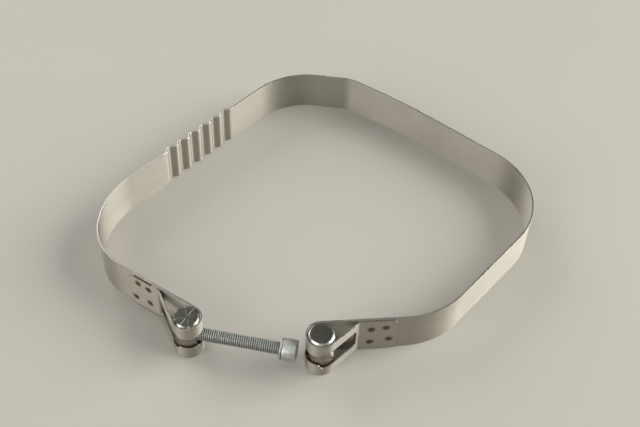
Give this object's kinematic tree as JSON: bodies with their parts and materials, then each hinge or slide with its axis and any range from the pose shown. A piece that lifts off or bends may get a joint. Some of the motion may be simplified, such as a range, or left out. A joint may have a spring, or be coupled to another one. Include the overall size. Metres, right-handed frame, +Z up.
{
  "type": "strap clamp",
  "caption": "Strap clamp for a pipe or silencer: a thin steel band on edge with springy waves, a trunnion looped in each end and a cap screw that draws the ends together.",
  "frame": {"origin": "middle of the strap's footprint, on the ground that the strap's edge stands on", "axes": "+Z up along the strap's width; +X to the right across the open ends; +Y away from the ends, towards the closed back of the strap"},
  "size_m": [0.2671, 0.2255, 0.0285],
  "materials": {
    "strap": "satin stainless strip",
    "weld": "heat-tinted spot weld",
    "trunnion": "turned steel",
    "zinc": "zinc plated"
  },
  "bodies": {
    "long_side": {"strap_long_side": "strap", "spot_weld_right_1": "weld", "spot_weld_right_2": "weld", "spot_weld_right_3": "weld", "spot_weld_right_4": "weld"},
    "short_side": {"strap_short_side": "strap", "spot_weld_left_1": "weld", "spot_weld_left_2": "weld", "spot_weld_left_3": "weld", "spot_weld_left_4": "weld"},
    "plain_trunnion": {"plain_trunnion": "trunnion"},
    "threaded_trunnion": {"threaded_trunnion": "trunnion"},
    "lock_washer": {"lock_washer": "zinc"},
    "cap_screw": {"cap_screw": "zinc"}
  },
  "joints": [
    {"name": "band_flex", "type": "hinge", "parent": "long_side", "child": "short_side", "pos_m": [-0.0821, 0.05233, 0.014], "axis": [0, 0, 1], "range_deg": [-15, 1.2], "stiffness_Nm_per_rad": 1.2},
    {"name": "plain_trunnion_swivel", "type": "hinge", "parent": "long_side", "child": "plain_trunnion", "pos_m": [0.0048, -0.1033, 0.014], "axis": [0, 0, 1], "continuous": true},
    {"name": "threaded_trunnion_swivel", "type": "hinge", "parent": "short_side", "child": "threaded_trunnion", "pos_m": [-0.0716, -0.0965, 0.014], "axis": [0, 0, 1], "range_deg": [-20, 20]},
    {"name": "screw_advance", "type": "slide", "parent": "threaded_trunnion", "child": "lock_washer", "axis": [-0.9885, 0.1513, 0], "range_m": [0, 0.0441]},
    {"name": "screw_turn", "type": "hinge", "parent": "lock_washer", "child": "cap_screw", "pos_m": [-0.01644, -0.10494, 0.014], "axis": [-0.9885, 0.1513, 0], "range_deg": [0, 12672]}
  ],
  "couplings": [
    {"joint": "screw_advance", "follows": "screw_turn", "m_per_rad": 0.00019894}
  ]
}
